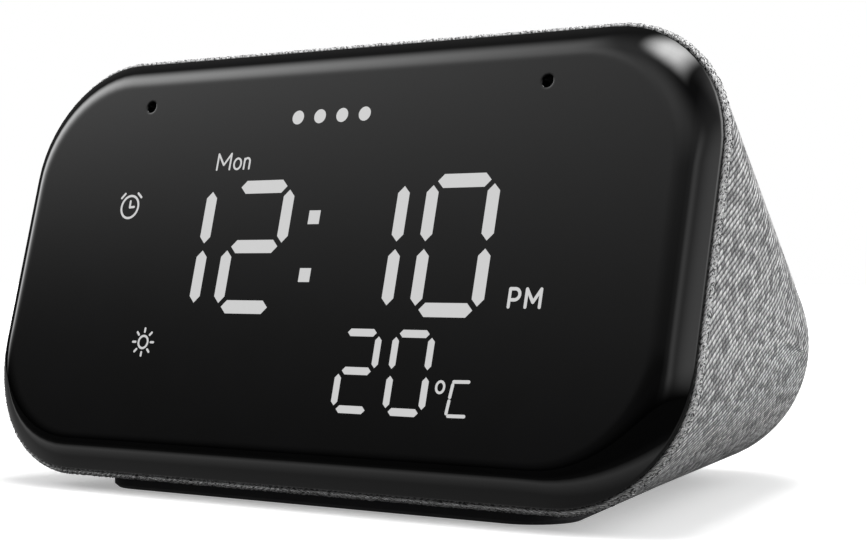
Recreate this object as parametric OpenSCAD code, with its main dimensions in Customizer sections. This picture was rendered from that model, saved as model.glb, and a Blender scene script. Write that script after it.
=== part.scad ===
// Bedside smart display: a glossy rolled-edge front with light segments behind it, a cloth-covered
// wedge body with four keys on top, and a rear bay with the sockets, mute slider and night light.
// +Z is up, the front faces -Y, and the origin is the middle of the footprint on the table.

/* [Body] */
// Width across the cloth at its widest
body_w = 120.6; // [118:0.2:124]
// Depth from the front of the cover to the back of the cloth
body_d = 83.3; // [82:0.1:88]
// Height of the cloth's rim, measured along the tilted face
rim_h = 64; // [63:0.2:66]
// Corner radius of the cloth's rim
rim_r = 18.2; // [16:0.2:20]
// Backward lean of the face, in degrees
lean = 14.7; // [13:0.1:16]
// Height of the face's centre above the table
face_z = 34; // [33.8:0.1:35]
// Radius of the rounded heel at the back
heel_r = 18.1; // [17.6:0.1:18.6]
// Width of the heel in plan
heel_w = 93.2; // [92:0.2:98]
// Plan radius of the heel's corners
heel_corner = 22.5; // [22:0.1:24]
// Height of the heel's centre above the table
heel_z = 20.9; // [20.6:0.1:21.4]
// Thickness of the cloth sleeve
cloth_t = 1; // [0.8:0.1:1]
// Wall of the moulded shell
shell_t = 2; // [1.8:0.1:2.2]

/* [Front] */
// Width of the cover's rolled edge
roll_w = 5; // [4.5:0.1:5.5]
// Depth of the cover's rolled edge
roll_drop = 3.3; // [3:0.1:3.5]
// Thickness of the cover's flat part
cover_t = 2; // [1.8:0.1:2.2]
// Distance between the two microphone holes
mic_span = 70; // [68:0.5:74]
// Height of the microphone holes above the face's centre
mic_v = 23.2; // [22.5:0.1:23.6]
// Diameter of a microphone hole
mic_d = 1.7; // [1.2:0.1:2]

/* [Light segments] */
// Height of the time digits between stroke centres
time_h = 17.4; // [16:0.2:18]
// Width of the time digits between stroke centres
time_w = 9.7; // [9:0.1:10]
// Stroke thickness of the time digits
time_stroke = 1.9; // [1.5:0.1:2]
// Height of the time's centre above the face's centre
time_v = 1.4; // [1:0.1:2]
// Height of the temperature digits between stroke centres
temp_h = 10.4; // [9.6:0.2:10.6]
// Width of the temperature digits between stroke centres
temp_w = 5.75; // [5.5:0.05:6]
// Stroke thickness of the temperature digits
temp_stroke = 1.05; // [0.8:0.05:1.2]
// Height of the temperature's centre above the face's centre
temp_v = -15.7; // [-16:0.1:-15.4]

/* [Keys] */
// Length of a key cap
key_l = 11; // [9:0.5:12]
// Width of a key cap
key_w = 5; // [4:0.5:5]
// Distance from one key to the next
key_pitch = 18; // [16:0.5:18]
// Distance from the cloth's rim back to the keys' centres
key_back = 12; // [11.5:0.1:12]
// Travel of a key
key_travel = 0.5; // [0.3:0.1:0.5]

/* [Speaker] */
// Width of the square speaker flange
speaker_w = 38; // [36:0.5:38]
// Diameter of the speaker's cone
cone_d = 27; // [25:0.5:27]
// Distance from the cloth's rim back to the speaker's centre
speaker_back = 38; // [37.5:0.1:38.5]

/* [Rear bay] */
// Width of the recessed bay
bay_w = 58; // [57:0.5:60]
// Height of the recessed bay
bay_h = 15; // [14.5:0.1:15.5]
// Depth of the bay behind the cloth
bay_depth = 4.7; // [4.6:0.1:5]
// Travel of the microphone mute slider
mute_travel = 2.5; // [2:0.1:2.5]

/* [Foot] */
// Width of the foot at the front
foot_front_w = 79.6; // [78:0.2:82]
// Width of the foot at the back
foot_rear_w = 51; // [50:0.5:56]
// Thickness of the rubber foot
foot_t = 1.6; // [1.4:0.1:1.8]

/* [Hidden] */

gap = 0.05;              // between pieces that touch in one body
slack = 0.3;             // round pieces that are put in by hand
rim_depth = roll_drop + 0.83;
rim_proud = 0.55;        // the cloth's rim outside the cover's edge
cover_w = body_w - 2 * rim_proud;
cover_h = rim_h - 2 * rim_proud;
cover_r = rim_r - rim_proud;
flat_h = cover_h - 2 * roll_w;
// the rolled edge leans forward of the face's lower edge before it turns back
front_reach = flat_h / 2 * sin(lean)
    + pow(roll_w * sin(lean), 2) / (4 * roll_drop * cos(lean));
face_y = front_reach - body_d / 2;
// the bay takes away the middle of the heel, so the heel runs out past the overall depth by this
bay_loss = heel_corner
    - sqrt(pow(heel_corner, 2) - pow(bay_w / 2 + slack - heel_w / 2 + heel_corner, 2));
heel_back = body_d / 2 + bay_loss;
heel_y = heel_back - heel_r;
rim_top_y = face_y + rim_h / 2 * sin(lean) + rim_depth * cos(lean);
rim_top_z = face_z + rim_h / 2 * cos(lean) - rim_depth * sin(lean);
top_run = norm([heel_y - rim_top_y, heel_z - rim_top_z]);
top_slope = atan2(rim_top_z - heel_z, heel_y - rim_top_y) - asin(heel_r / top_run);

shell_out = cloth_t + gap;
shell_in = shell_out + shell_t;
skirt_in = shell_in + 1.6;   // the shell closes in behind the rim, so the skirt stands inside it
skirt_t = 1.5;
skirt_end = 8;
hull_fn = 40;
round_fn = 48;

film_t = 0.25;
film_z = -cover_t - gap;
block_z = film_z - film_t - gap;
block_t = 5;
guide_t = 3.4;
board_t = 1.2;
led_board_z = block_z - block_t - gap;
block_w = 84;
block_top = 17.6;
block_bottom = -23;
tongue_w = 40;
tongue_top = 22.6;
time_at = [-24.4, -10, 10, 24.4];
temp_at = [11.5, 20.1];
colon_v = [time_v - 4.1, time_v + 4.1];
colon_w = 1.95;
dot_at = [-5.9, -1.95, 1.95, 5.9];
dot_v = 20.2;
dot_d = 2;
// legend windows: centre and size of weekday, day half, alarm, daylight and degree signs
legends = [[-16.6, 14.1, 7.4, 3.4], [36.2, -5.5, 6, 3.6], [-35.7, 8.2, 5, 4.6],
    [-28, -12.7, 4.8, 4.8], [27.3, -18.6, 6.2, 5.6]];

frame_z = -9.2;
frame_t = 1.6;
frame_screw_at = [[50.5, 12], [-50.5, 12], [50.5, -12], [-50.5, -12]];
mic_at = [-mic_span / 2, mic_span / 2];

foot_front_y = -36;
foot_rear_y = 30;
foot_r = 7;
plate_lap = 6;            // how far the base plate laps over the shell's opening
plug_top = 6.4;
base_screw_at = [[34, -26], [-34, -26], [21, 19], [-21, 19]];
post_at = [[22, -14], [-22, -14], [18, 8], [-18, 8]];

board_z = 15.4;
main_board_t = 1.6;
board_top = board_z + main_board_t;

bay_y = heel_back - bay_depth;
bay_z = heel_z;
panel_t = 2;
usb_x = -18.5;
light_x = -3.5;
mute_x = 8.5;
jack_x = 20;
usb_w = 13.1;
usb_h = 5.7;
usb_l = 14;
jack_hole_d = 6.3;
jack_drop = bay_z - board_top - gap;   // the jack stands on the main board

key_x = [for (i = [-1.5:1:1.5]) i * key_pitch];
key_proud = 0.6;
key_flange_z = -shell_in - 0.15;
key_flange_t = 0.9;
key_stem_end = key_flange_z - key_flange_t - 1;
switch_top = key_stem_end - key_travel - gap;
switch_h = 1.5;

flange_z = -shell_in - 0.9;
flange_t = 1.2;
cone_z = flange_z - 1.4;
cone_throw = 1;

// a rounded rectangle made of exact arcs
module round_rect(w, h, r) {
    square([w - 2 * r, h], center = true);
    square([w, h - 2 * r], center = true);
    for (x = [-1, 1], y = [-1, 1])
        translate([x * (w / 2 - r), y * (h / 2 - r)])
            circle(r, $fn = hull_fn);
}

// a slot with round ends along X
module slot(l, w) {
    square([l - w, w], center = true);
    for (x = [-1, 1])
        translate([x * (l - w) / 2, 0])
            circle(d = w, $fn = round_fn);
}

// X along the face, Y up the face, Z out of it
module on_face(z = 0)
    translate([0, face_y, face_z])
        rotate([90 - lean, 0, 0])
            translate([0, 0, z])
                children();

// X along the rim, Y down the sloping top, Z out of it
module on_top(y = 0, z = 0)
    translate([0, rim_top_y, rim_top_z])
        rotate([-top_slope, 0, 0])
            translate([0, y, z])
                children();

// X across, Y up and Z out of the back
module on_bay(x = 0, z = 0)
    translate([x, bay_y, bay_z])
        rotate([90, 0, 180])
            mirror([1, 0, 0])
                translate([0, 0, z])
                    children();

// one end of the heel, a fat wheel lying flat
module heel_end(inset)
    rotate_extrude($fn = hull_fn)
        intersection() {
            translate([heel_corner - heel_r, 0])
                circle(heel_r - inset, $fn = hull_fn);
            translate([0, -heel_r])
                square([heel_corner, 2 * heel_r]);
        }

// the wedge: everything between the rim and the heel, drawn in by an inset, with a lip in front
module wedge(inset, lip, lip_inset = 0)
    hull() {
        on_face(-rim_depth)
            linear_extrude(lip_inset > 0 ? lip / 3 : lip)
                round_rect(body_w - 2 * inset, rim_h - 2 * inset, rim_r - inset);
        if (lip_inset > 0)
            on_face(-rim_depth + lip / 2)
                linear_extrude(lip / 2)
                    round_rect(body_w - 2 * inset - 2 * lip_inset,
                        rim_h - 2 * inset - 2 * lip_inset, rim_r - inset - lip_inset);
        for (x = [-1, 1])
            translate([x * (heel_w / 2 - heel_corner), heel_back - heel_corner, heel_z])
                heel_end(inset);
    }

module foot_outline(inset = 0) {
    wide = foot_front_w / 2 - foot_r;
    narrow = foot_rear_w / 2 - foot_r;
    hull()
        for (x = [-1, 1]) {
            translate([x * wide, foot_front_y + foot_r])
                circle(foot_r - inset, $fn = hull_fn);
            translate([x * narrow, foot_rear_y - foot_r])
                circle(foot_r - inset, $fn = hull_fn);
        }
}

// a pan-head screw, its head's underside at z = 0 and its shank below
module screw(d, l) {
    translate([0, 0, -l])
        cylinder(d = d, h = l, $fn = round_fn);
    difference() {
        cylinder(d1 = 2 * d, d2 = 1.6 * d, h = 0.6 * d, $fn = round_fn);
        for (a = [0, 90])
            rotate(a)
                translate([-0.6 * d, -0.12 * d, 0.25 * d])
                    cube([1.2 * d, 0.24 * d, d]);
    }
}

// one light segment, a bar with pointed ends along X
module segment(l, t, grow = 0) {
    a = l / 2 - 0.3 + grow;
    b = t / 2 + grow;
    polygon([[a, 0], [a - b, b], [b - a, b], [-a, 0], [b - a, -b], [a - b, -b]]);
}

// seven segments of a digit
module digit(w, h, t, grow = 0) {
    for (y = [-h / 2, 0, h / 2])
        translate([0, y])
            segment(w, t, grow);
    for (x = [-w / 2, w / 2], y = [-h / 4, h / 4])
        translate([x, y])
            rotate(90)
                segment(h / 2, t, grow);
}

module time_figures(grow = 0) {
    for (x = time_at)
        translate([x, time_v])
            digit(time_w, time_h, time_stroke, grow);
    for (y = colon_v)
        translate([0, y])
            square(colon_w + 2 * grow, center = true);
}

module temperature_figures(grow = 0)
    for (x = temp_at)
        translate([x, temp_v])
            digit(temp_w, temp_h, temp_stroke, grow);

module legend_windows(grow = 0) {
    for (l = legends)
        translate([l[0], l[1]])
            square([l[2] + 2 * grow, l[3] + 2 * grow], center = true);
    for (x = dot_at)
        translate([x, dot_v])
            circle(d = dot_d + 2 * grow, $fn = round_fn);
}

// outline shared by the mask, the light block and the light board
module display_outline(grow = 0) {
    translate([-block_w / 2 - grow, block_bottom - grow])
        square([block_w + 2 * grow, block_top - block_bottom + 2 * grow]);
    translate([-tongue_w / 2 - grow, 0])
        square([tongue_w + 2 * grow, tongue_top + grow]);
}

// ---- front ----

// the rolled edge drops with the square of the distance from the flat part
module front_cover()
    color("#141416")
    on_face()
    difference() {
        union() {
            hull()
                for (s = [0, 0.2, 0.4, 0.6, 0.8, 1])
                    translate([0, 0, -roll_drop * s * s - gap])
                        linear_extrude(gap)
                            round_rect(cover_w - 2 * roll_w * (1 - s),
                                cover_h - 2 * roll_w * (1 - s), cover_r - roll_w * (1 - s) / 2);
            translate([0, 0, -skirt_end])
                linear_extrude(skirt_end - roll_drop + gap)
                    round_rect(body_w - 2 * skirt_in, rim_h - 2 * skirt_in, rim_r - skirt_in);
        }
        translate([0, 0, -skirt_end - 1])
            linear_extrude(skirt_end + 1 - cover_t)
                round_rect(body_w - 2 * skirt_in - 2 * skirt_t,
                    rim_h - 2 * skirt_in - 2 * skirt_t, rim_r - skirt_in - skirt_t);
        for (x = mic_at)
            translate([x, mic_v, -skirt_end])
                cylinder(d = mic_d, h = skirt_end + 1, $fn = round_fn);
    }

module light_mask()
    color("#0c0c0d")
    on_face(film_z - film_t)
    linear_extrude(film_t)
    difference() {
        display_outline(1);
        time_figures();
        temperature_figures();
        legend_windows();
    }

module light_block()
    color("#e9e9e6")
    on_face(block_z - block_t)
    linear_extrude(block_t)
    difference() {
        display_outline();
        time_figures(0.15);
        temperature_figures(0.15);
        legend_windows(0.15);
    }

module time_light_guides()
    color("#f2f2ee")
    on_face(block_z - guide_t)
    linear_extrude(guide_t)
    time_figures();

module temperature_light_guides()
    color("#f2f2ee")
    on_face(block_z - guide_t)
    linear_extrude(guide_t)
    temperature_figures();

module legend_light_guides()
    color("#f2f2ee")
    on_face(block_z - guide_t)
    linear_extrude(guide_t)
    legend_windows();

module led_board()
    color("#1d2a24")
    on_face(led_board_z - board_t)
    linear_extrude(board_t)
    difference() {
        display_outline(1);
        for (x = [-1, 1], y = [-18, 14])
            translate([x * (block_w / 2 - 4), y])
                circle(d = 2.2, $fn = round_fn);
    }

// one small lamp behind every window
module display_leds()
    color("#f6e7b0")
    on_face(led_board_z + gap)
    linear_extrude(0.7) {
        for (x = time_at, y = [-time_h / 2, 0, time_h / 2])
            translate([x, time_v + y])
                square([3, 1.4], center = true);
        for (x = time_at, u = [-time_w / 2, time_w / 2], y = [-time_h / 4, time_h / 4])
            translate([x + u, time_v + y])
                square([1.4, 3], center = true);
        for (x = temp_at, y = [-temp_h / 2, 0, temp_h / 2])
            translate([x, temp_v + y])
                square([1.6, 0.8], center = true);
        for (x = temp_at, u = [-temp_w / 2, temp_w / 2], y = [-temp_h / 4, temp_h / 4])
            translate([x + u, temp_v + y])
                square([0.8, 1.6], center = true);
        for (y = colon_v)
            translate([0, y])
                square([1.6, 0.8], center = true);
        for (l = legends)
            translate([l[0], l[1]])
                square([2, 1.2], center = true);
        for (x = dot_at)
            translate([x, dot_v])
                square([1.2, 0.8], center = true);
    }

// looks out through the cover beside the lit dots
module light_sensor()
    color("#2a2a2e")
    on_face(film_z - 2)
    translate([27, 20.4, 0])
    linear_extrude(1.8)
    square([3, 2], center = true);

module front_frame()
    color("#202022")
    on_face(frame_z - frame_t)
    difference() {
        union() {
            linear_extrude(frame_t)
                round_rect(107, 50.4, 12);
            // ledges that press on the light board from behind
            for (x = [-1, 1])
                translate([x * 36 - 3, -20, frame_t])
                    cube([6, 34, led_board_z - board_t - frame_z - gap]);
        }
        for (p = frame_screw_at)
            translate([p[0], p[1], -1])
                cylinder(d = 2.6, h = frame_t + 2, $fn = round_fn);
        // room for the key board above
        translate([-3 * key_pitch / 2 - 6, 21.8, -1])
            cube([3 * key_pitch + 12, 6, frame_t + 2]);
        // windows for the ribbons and the microphones' leads
        translate([-9, -19, -1])
            cube([18, 5, frame_t + 2]);
        for (x = mic_at)
            translate([x, mic_v - 2.2, -1])
                cylinder(d = 3, h = frame_t + 2, $fn = round_fn);
    }

module frame_screws()
    color("#b9bcc0")
    on_face(frame_z + gap)
    for (p = frame_screw_at)
        translate([p[0], p[1], 0])
            screw(2, 7);

module mic_seals()
    color("#2b2b2b")
    on_face(-cover_t - gap - 1.6)
    for (x = mic_at)
        translate([x, mic_v, 0])
            difference() {
                cylinder(d = 4.4, h = 1.6, $fn = round_fn);
                translate([0, 0, -1])
                    cylinder(d = mic_d, h = 4, $fn = round_fn);
            }

module microphones()
    color("#c9a24a")
    on_face(-cover_t - 2 * gap - 1.6 - 1.1)
    for (x = mic_at)
        translate([x, mic_v, 0])
            linear_extrude(1.1)
                square([3.8, 3], center = true);

// ---- body ----

module rear_shell()
    color("#2c2c2e")
    difference() {
        union() {
            difference() {
                wedge(shell_out, rim_depth - roll_drop - 2 * gap);
                wedge(shell_in, rim_depth);
            }
            // posts for the front frame, run out into the side walls
            intersection() {
                wedge(shell_out + 0.5, 0.1);
                union() {
                    on_face(frame_z - frame_t - gap - 24)
                        for (p = frame_screw_at)
                            translate([p[0], p[1], 0])
                                cylinder(r = 3, h = 24, $fn = round_fn);
                    for (p = base_screw_at)
                        translate([p[0], p[1], 0])
                            cylinder(r = 3, h = 11, $fn = round_fn);
                }
            }
            // pads for the speaker's screws
            on_top(speaker_back, flange_z + gap)
                for (x = [-1, 1], y = [-1, 1])
                    translate([x * (speaker_w / 2 - 3), y * (speaker_w / 2 - 3), 0])
                        cylinder(r = 2.4, h = shell_t - flange_z - shell_in, $fn = round_fn);
        }
        on_face(frame_z - frame_t - gap - 12)
            for (p = frame_screw_at)
                translate([p[0], p[1], 0])
                    cylinder(d = 1.7, h = 30, $fn = round_fn);
        for (p = base_screw_at)
            translate([p[0], p[1], 0])
                cylinder(d = 1.7, h = 9.5, $fn = round_fn);
        on_top(speaker_back, flange_z - 1)
            for (x = [-1, 1], y = [-1, 1])
                translate([x * (speaker_w / 2 - 3), y * (speaker_w / 2 - 3), 0])
                    cylinder(d = 1.5, h = 3.4, $fn = round_fn);
        // opening for the base plate's plug
        linear_extrude(plug_top + 4)
            foot_outline(plate_lap);
        // sound holes over the cone
        on_top(speaker_back, -6)
            for (ring = [0, 1, 2], i = [0:max(ring * 6 - 1, 0)])
                rotate(i * 60 / max(ring, 1))
                    translate([ring * 5.6, 0, 0])
                        cylinder(d = 3.2, h = 8, $fn = round_fn);
        on_top(key_back, -6)
            for (x = key_x)
                translate([x, 0, 0])
                    linear_extrude(8)
                        slot(key_l + 0.8, key_w + 0.8);
        rear_bay_cut(slack);
    }

module rear_bay_cut(grow)
    on_bay(0, -panel_t - slack)
        linear_extrude(bay_depth + panel_t + slack + 5)
            round_rect(bay_w + 2 * grow, bay_h + 2 * grow, 5 + grow);

module fabric_sleeve()
    color("#a3a3a6")
    difference() {
        wedge(0, rim_depth - roll_drop - 2 * gap, 0.25);
        wedge(cloth_t, rim_depth + 0.4);
        linear_extrude(plug_top)
            foot_outline(-0.2);
        rear_bay_cut(slack);
        on_top(key_back, -3)
            for (x = key_x)
                translate([x, 0, 0])
                    linear_extrude(8)
                        slot(key_l + 0.8, key_w + 0.8);
    }

module base_plate()
    color("#343436")
    difference() {
        union() {
            difference() {
                translate([0, 0, foot_t + gap])
                    linear_extrude(plug_top - foot_t - gap - 1)
                        foot_outline();
                wedge(cloth_t, 0.1);
            }
            translate([0, 0, foot_t + gap])
                linear_extrude(plug_top - foot_t - gap)
                    foot_outline(plate_lap + slack);
            for (p = post_at)
                translate([p[0], p[1], plug_top - 1])
                    cylinder(r = 2.6, h = board_z - gap - plug_top + 1, $fn = round_fn);
        }
        for (p = base_screw_at)
            translate([p[0], p[1], 0]) {
                cylinder(d = 2.4, h = 12, $fn = round_fn);
                cylinder(d = 4.6, h = foot_t + 1, $fn = round_fn);
            }
        for (p = post_at)
            translate([p[0], p[1], plug_top + 2])
                cylinder(d = 1.7, h = 12, $fn = round_fn);
    }

module rubber_foot()
    color("#38383a")
    difference() {
        hull() {
            translate([0, 0, 0.5])
                linear_extrude(foot_t - 0.5)
                    foot_outline();
            linear_extrude(0.1)
                foot_outline(0.6);
        }
        // pockets over the base screws' heads
        for (p = base_screw_at)
            translate([p[0], p[1], foot_t - 0.5])
                cylinder(d = 5, h = 1, $fn = round_fn);
        // shallow tread grooves
        for (y = [-24:8:16])
            translate([-18, y, -1])
                cube([36, 1.2, 1.3]);
    }

module base_screws()
    color("#b9bcc0")
    for (p = base_screw_at)
        translate([p[0], p[1], foot_t + 1 - gap])
            mirror([0, 0, 1])
                translate([0, 0, -0.01])
                    screw(2, 6);

// ---- boards ----

module main_board()
    color("#1f5a3a")
    translate([0, 0, board_z])
    linear_extrude(main_board_t)
    difference() {
        translate([-31, -18])
            square([62, 51.5]);
        for (p = post_at)
            translate(p)
                circle(d = 2.2, $fn = round_fn);
    }

module board_screws()
    color("#b9bcc0")
    for (p = post_at)
        translate([p[0], p[1], board_top + gap])
            screw(2, 6);

module processor()
    color("#26262a")
    translate([-6, -8, board_top + gap])
    cube([12, 12, 1.1]);

module shield_can()
    color("#c4c7ca")
    translate([-27, -7, board_top + gap])
    difference() {
        cube([16, 13, 2.2]);
        translate([0.3, 0.3, -1])
            cube([15.4, 12.4, 2.9]);
    }

module board_capacitors()
    color("#3a3f58")
    for (p = [[11, 1], [16.5, -3], [12, -7], [26, 14], [26, 20]])
        translate([p[0], p[1], board_top + gap])
            cylinder(d = 4, h = 5.4, $fn = round_fn);

module board_connectors()
    color("#efe9d6")
    for (x = [-8, 7])
        translate([x - 5, -17.2, board_top + gap])
            cube([10, 4.4, 2.6]);

// ---- rear bay ----

module port_panel()
    color("#2a2a2c")
    on_bay(0, -panel_t)
    difference() {
        linear_extrude(panel_t)
            round_rect(bay_w, bay_h, 5);
        translate([usb_x, 0, -1])
            linear_extrude(panel_t + 2)
                square([usb_w + 0.4, usb_h + 0.4], center = true);
        translate([light_x, 0, -1])
            cylinder(d = 9.4, h = panel_t + 2, $fn = round_fn);
        translate([mute_x, 0, -1])
            linear_extrude(panel_t + 2)
                slot(5 + mute_travel + 0.8, 2.8);
        translate([jack_x, 0, -1])
            cylinder(d = jack_hole_d + 0.4, h = panel_t + 2, $fn = round_fn);
    }

module usb_shell()
    color("#cfd2d6")
    on_bay(usb_x, -usb_l)
    difference() {
        linear_extrude(usb_l)
            square([usb_w, usb_h], center = true);
        translate([0, 0, 1])
            linear_extrude(usb_l)
                square([usb_w - 0.6, usb_h - 0.6], center = true);
    }

module usb_tongue()
    color("#f0f0ec")
    on_bay(usb_x, -usb_l + 1 + gap)
    translate([-5.5, 0.35, 0])
    cube([11, 1.85, usb_l - 4.2]);

module power_jack()
    color("#1b1b1d")
    on_bay(jack_x, -panel_t - gap - 12)
    difference() {
        translate([-4.6, -jack_drop, 0])
            cube([9.2, 9, 12]);
        translate([0, 0, 2])
            cylinder(d = jack_hole_d, h = 12, $fn = round_fn);
    }

module power_pin()
    color("#d5c07a")
    on_bay(jack_x, -panel_t - gap - 10 + gap)
    cylinder(d = 2, h = 8.6, $fn = round_fn);

// the knob rests at the right end of its slot, seen from behind
module mute_knob()
    color("#d8d8d6")
    on_bay(mute_x - mute_travel / 2, -panel_t - 1.6) {
        linear_extrude(1.2)
            square([5 + mute_travel + 2, 4.4], center = true);
        translate([0, 0, 1.1])
            linear_extrude(panel_t + 1.7)
                slot(5, 2.2);
    }

module mute_switch()
    color("#8f9296")
    on_bay(mute_x, -panel_t - 1.6 - gap - 3.4)
    difference() {
        linear_extrude(3.4)
            square([13, 5], center = true);
        translate([0, 0, 2.6])
            linear_extrude(2)
                square([9, 2.4], center = true);
    }

module night_light_lens()
    color("#f4efe2")
    on_bay(light_x, -panel_t - 1.2) {
        cylinder(d = 9, h = panel_t + 1.4, $fn = round_fn);
        cylinder(d = 11, h = 1.1, $fn = round_fn);
    }

module night_light_leds()
    color("#f6e7b0")
    on_bay(light_x, -panel_t - 3)
    for (x = [-2, 2])
        translate([x, 0, 0])
            linear_extrude(0.9)
                square([2.8, 1.6], center = true);

// ---- keys ----

module key_cap(x)
    color("#3c3c40")
    on_top(key_back)
    translate([x, 0, 0]) {
        translate([0, 0, key_flange_z])
            linear_extrude(key_proud - key_flange_z)
                slot(key_l, key_w);
        translate([0, 0, key_flange_z - key_flange_t])
            linear_extrude(key_flange_t)
                slot(key_l + 2.4, key_w + 2);
        translate([0, 0, key_stem_end])
            cylinder(d = 2.4, h = key_flange_z - key_stem_end, $fn = round_fn);
    }

module volume_down_key() key_cap(key_x[0]);
module volume_up_key() key_cap(key_x[1]);
module play_key() key_cap(key_x[2]);
module alarm_key() key_cap(key_x[3]);

module key_board()
    color("#1f5a3a")
    on_top(key_back, switch_top - switch_h - gap - board_t)
    linear_extrude(board_t)
    square([3 * key_pitch + 11, 8], center = true);

module key_switches()
    color("#a9acb0")
    on_top(key_back, switch_top - switch_h)
    for (x = key_x)
        translate([x, 0, 0]) {
            linear_extrude(switch_h - 0.3)
                square([4.5, 4.5], center = true);
            cylinder(d = 2, h = switch_h, $fn = round_fn);
        }

// ---- speaker, looking up through the shell's sound holes ----

module speaker_gasket()
    color("#333336")
    on_top(speaker_back, flange_z + gap)
    difference() {
        cylinder(d = 32.4, h = -shell_in - flange_z - 2 * gap, $fn = round_fn);
        translate([0, 0, -1])
            cylinder(d = cone_d + 3.4, h = 4, $fn = round_fn);
    }

module speaker_basket()
    color("#4a4c50")
    on_top(speaker_back)
    difference() {
        union() {
            translate([0, 0, flange_z - flange_t])
                linear_extrude(flange_t)
                    round_rect(speaker_w, speaker_w, 4);
            translate([0, 0, flange_z - 9])
                cylinder(d1 = 26, d2 = 33.4, h = 8, $fn = round_fn);
        }
        translate([0, 0, flange_z - flange_t - 0.2])
            cylinder(d = cone_d + 4, h = 4, $fn = round_fn);
        translate([0, 0, flange_z - 8])
            cylinder(d1 = 23.6, d2 = 31.2, h = 7.01, $fn = round_fn);
        translate([0, 0, flange_z - 10])
            cylinder(d = 17, h = 4, $fn = round_fn);
        // windows in the basket's cone
        for (a = [0:60:300])
            rotate(a)
                translate([8, -3, flange_z - 7.4])
                    cube([12, 6, 4.4]);
        for (x = [-1, 1], y = [-1, 1])
            translate([x * (speaker_w / 2 - 3), y * (speaker_w / 2 - 3), flange_z - 4])
                cylinder(d = 2.2, h = 6, $fn = round_fn);
    }

module speaker_magnet()
    color("#2e2f33")
    on_top(speaker_back, flange_z - 13.1)
    difference() {
        cylinder(d = 25, h = 4, $fn = round_fn);
        translate([0, 0, -1])
            cylinder(d = 16, h = 6, $fn = round_fn);
    }

module speaker_yoke()
    color("#9a9da1")
    on_top(speaker_back, flange_z - 15.2) {
        cylinder(d = 25, h = 2, $fn = round_fn);
        cylinder(d = 10, h = 6, $fn = round_fn);
    }

module speaker_cone()
    color("#2f2f33")
    on_top(speaker_back, cone_z)
    rotate_extrude($fn = round_fn)
    polygon([[6.9, -3.6], [cone_d / 2 - 2, -0.4], [cone_d / 2 - 0.4, -0.4],
        [cone_d / 2 - 0.4, 0], [cone_d / 2 - 2.1, 0], [6.9, -3.1]]);

module voice_coil()
    color("#b4703a")
    on_top(speaker_back, cone_z - 7.2)
    difference() {
        cylinder(d = 13.7, h = 4.6, $fn = round_fn);
        translate([0, 0, -1])
            cylinder(d = 12.7, h = 8, $fn = round_fn);
    }

module dust_cap()
    color("#3a3a3f")
    on_top(speaker_back, cone_z - 2.5)
    intersection() {
        difference() {
            translate([0, 0, -11.2])
                sphere(r = 13, $fn = 96);
            translate([0, 0, -11.2])
                sphere(r = 12.6, $fn = 96);
        }
        cylinder(d = 13.2, h = 4, $fn = round_fn);
    }

// a half-roll of rubber between the cone and the flange
module speaker_surround()
    color("#26262a")
    on_top(speaker_back, cone_z + 0.4)
    rotate_extrude($fn = round_fn)
    difference() {
        translate([cone_d / 2 + 0.75, 0])
            circle(1.1, $fn = round_fn);
        translate([cone_d / 2 + 0.75, 0])
            circle(0.75, $fn = round_fn);
        translate([0, -4])
            square([cone_d, 4]);
    }

module speaker_screws()
    color("#b9bcc0")
    on_top(speaker_back, flange_z - flange_t - gap)
    for (x = [-1, 1], y = [-1, 1])
        translate([x * (speaker_w / 2 - 3), y * (speaker_w / 2 - 3), 0])
            mirror([0, 0, 1])
                screw(1.6, 3.2);

// ---- leads ----

// a flat ribbon through a list of [y, z] points, t thick and w wide along X
module ribbon(points, w, t, x = 0)
    translate([x + w / 2, 0, 0])
    rotate([90, 0, 270])
    linear_extrude(w)
    for (i = [0:len(points) - 2]) {
        a = points[i];
        b = points[i + 1];
        translate([-a[0], a[1]])
            rotate(atan2(b[1] - a[1], a[0] - b[0])) {
                translate([0, -t / 2])
                    square([norm(b - a), t]);
                circle(d = t, $fn = 16);
            }
    }

display_route = [[-24.5, 22], [-22.5, 19], [-20.5, 18.3], [-18.2, 18.2]];
key_route = [[-13.5, 48], [-15, 42], [-19, 30], [-20.5, 20.4], [-18.2, 19.2]];

module display_flex()
    color("#c58a3c")
    ribbon(display_route, 9, 0.3, 7);

module key_flex()
    color("#c58a3c")
    ribbon(key_route, 6, 0.3, -8);

// a round lead through a list of points
module lead(points, d)
    for (i = [0:len(points) - 2]) {
        a = points[i];
        v = points[i + 1] - a;
        translate(a) {
            rotate([0, acos(v[2] / norm(v)), atan2(v[1], v[0])])
                cylinder(d = d, h = norm(v), $fn = 24);
            sphere(d = 1.1 * d, $fn = 24);
        }
    }

module speaker_leads()
    color("#b33a30")
    for (x = [-20.4, -22.2])
        lead([[x, 14, 31], [x, 12, 26], [x, 11, 21], [x, 12, board_top + 0.8]], 1.1);

front_cover();
light_mask();
light_block();
time_light_guides();
temperature_light_guides();
legend_light_guides();
led_board();
display_leds();
light_sensor();
front_frame();
frame_screws();
mic_seals();
microphones();
rear_shell();
fabric_sleeve();
base_plate();
rubber_foot();
base_screws();
main_board();
board_screws();
processor();
shield_can();
board_capacitors();
board_connectors();
port_panel();
usb_shell();
usb_tongue();
power_jack();
power_pin();
mute_knob();
mute_switch();
night_light_lens();
night_light_leds();
volume_down_key();
volume_up_key();
play_key();
alarm_key();
key_board();
key_switches();
speaker_gasket();
speaker_basket();
speaker_magnet();
speaker_yoke();
speaker_cone();
voice_coil();
dust_cap();
speaker_surround();
speaker_screws();
display_flex();
key_flex();
speaker_leads();
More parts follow.
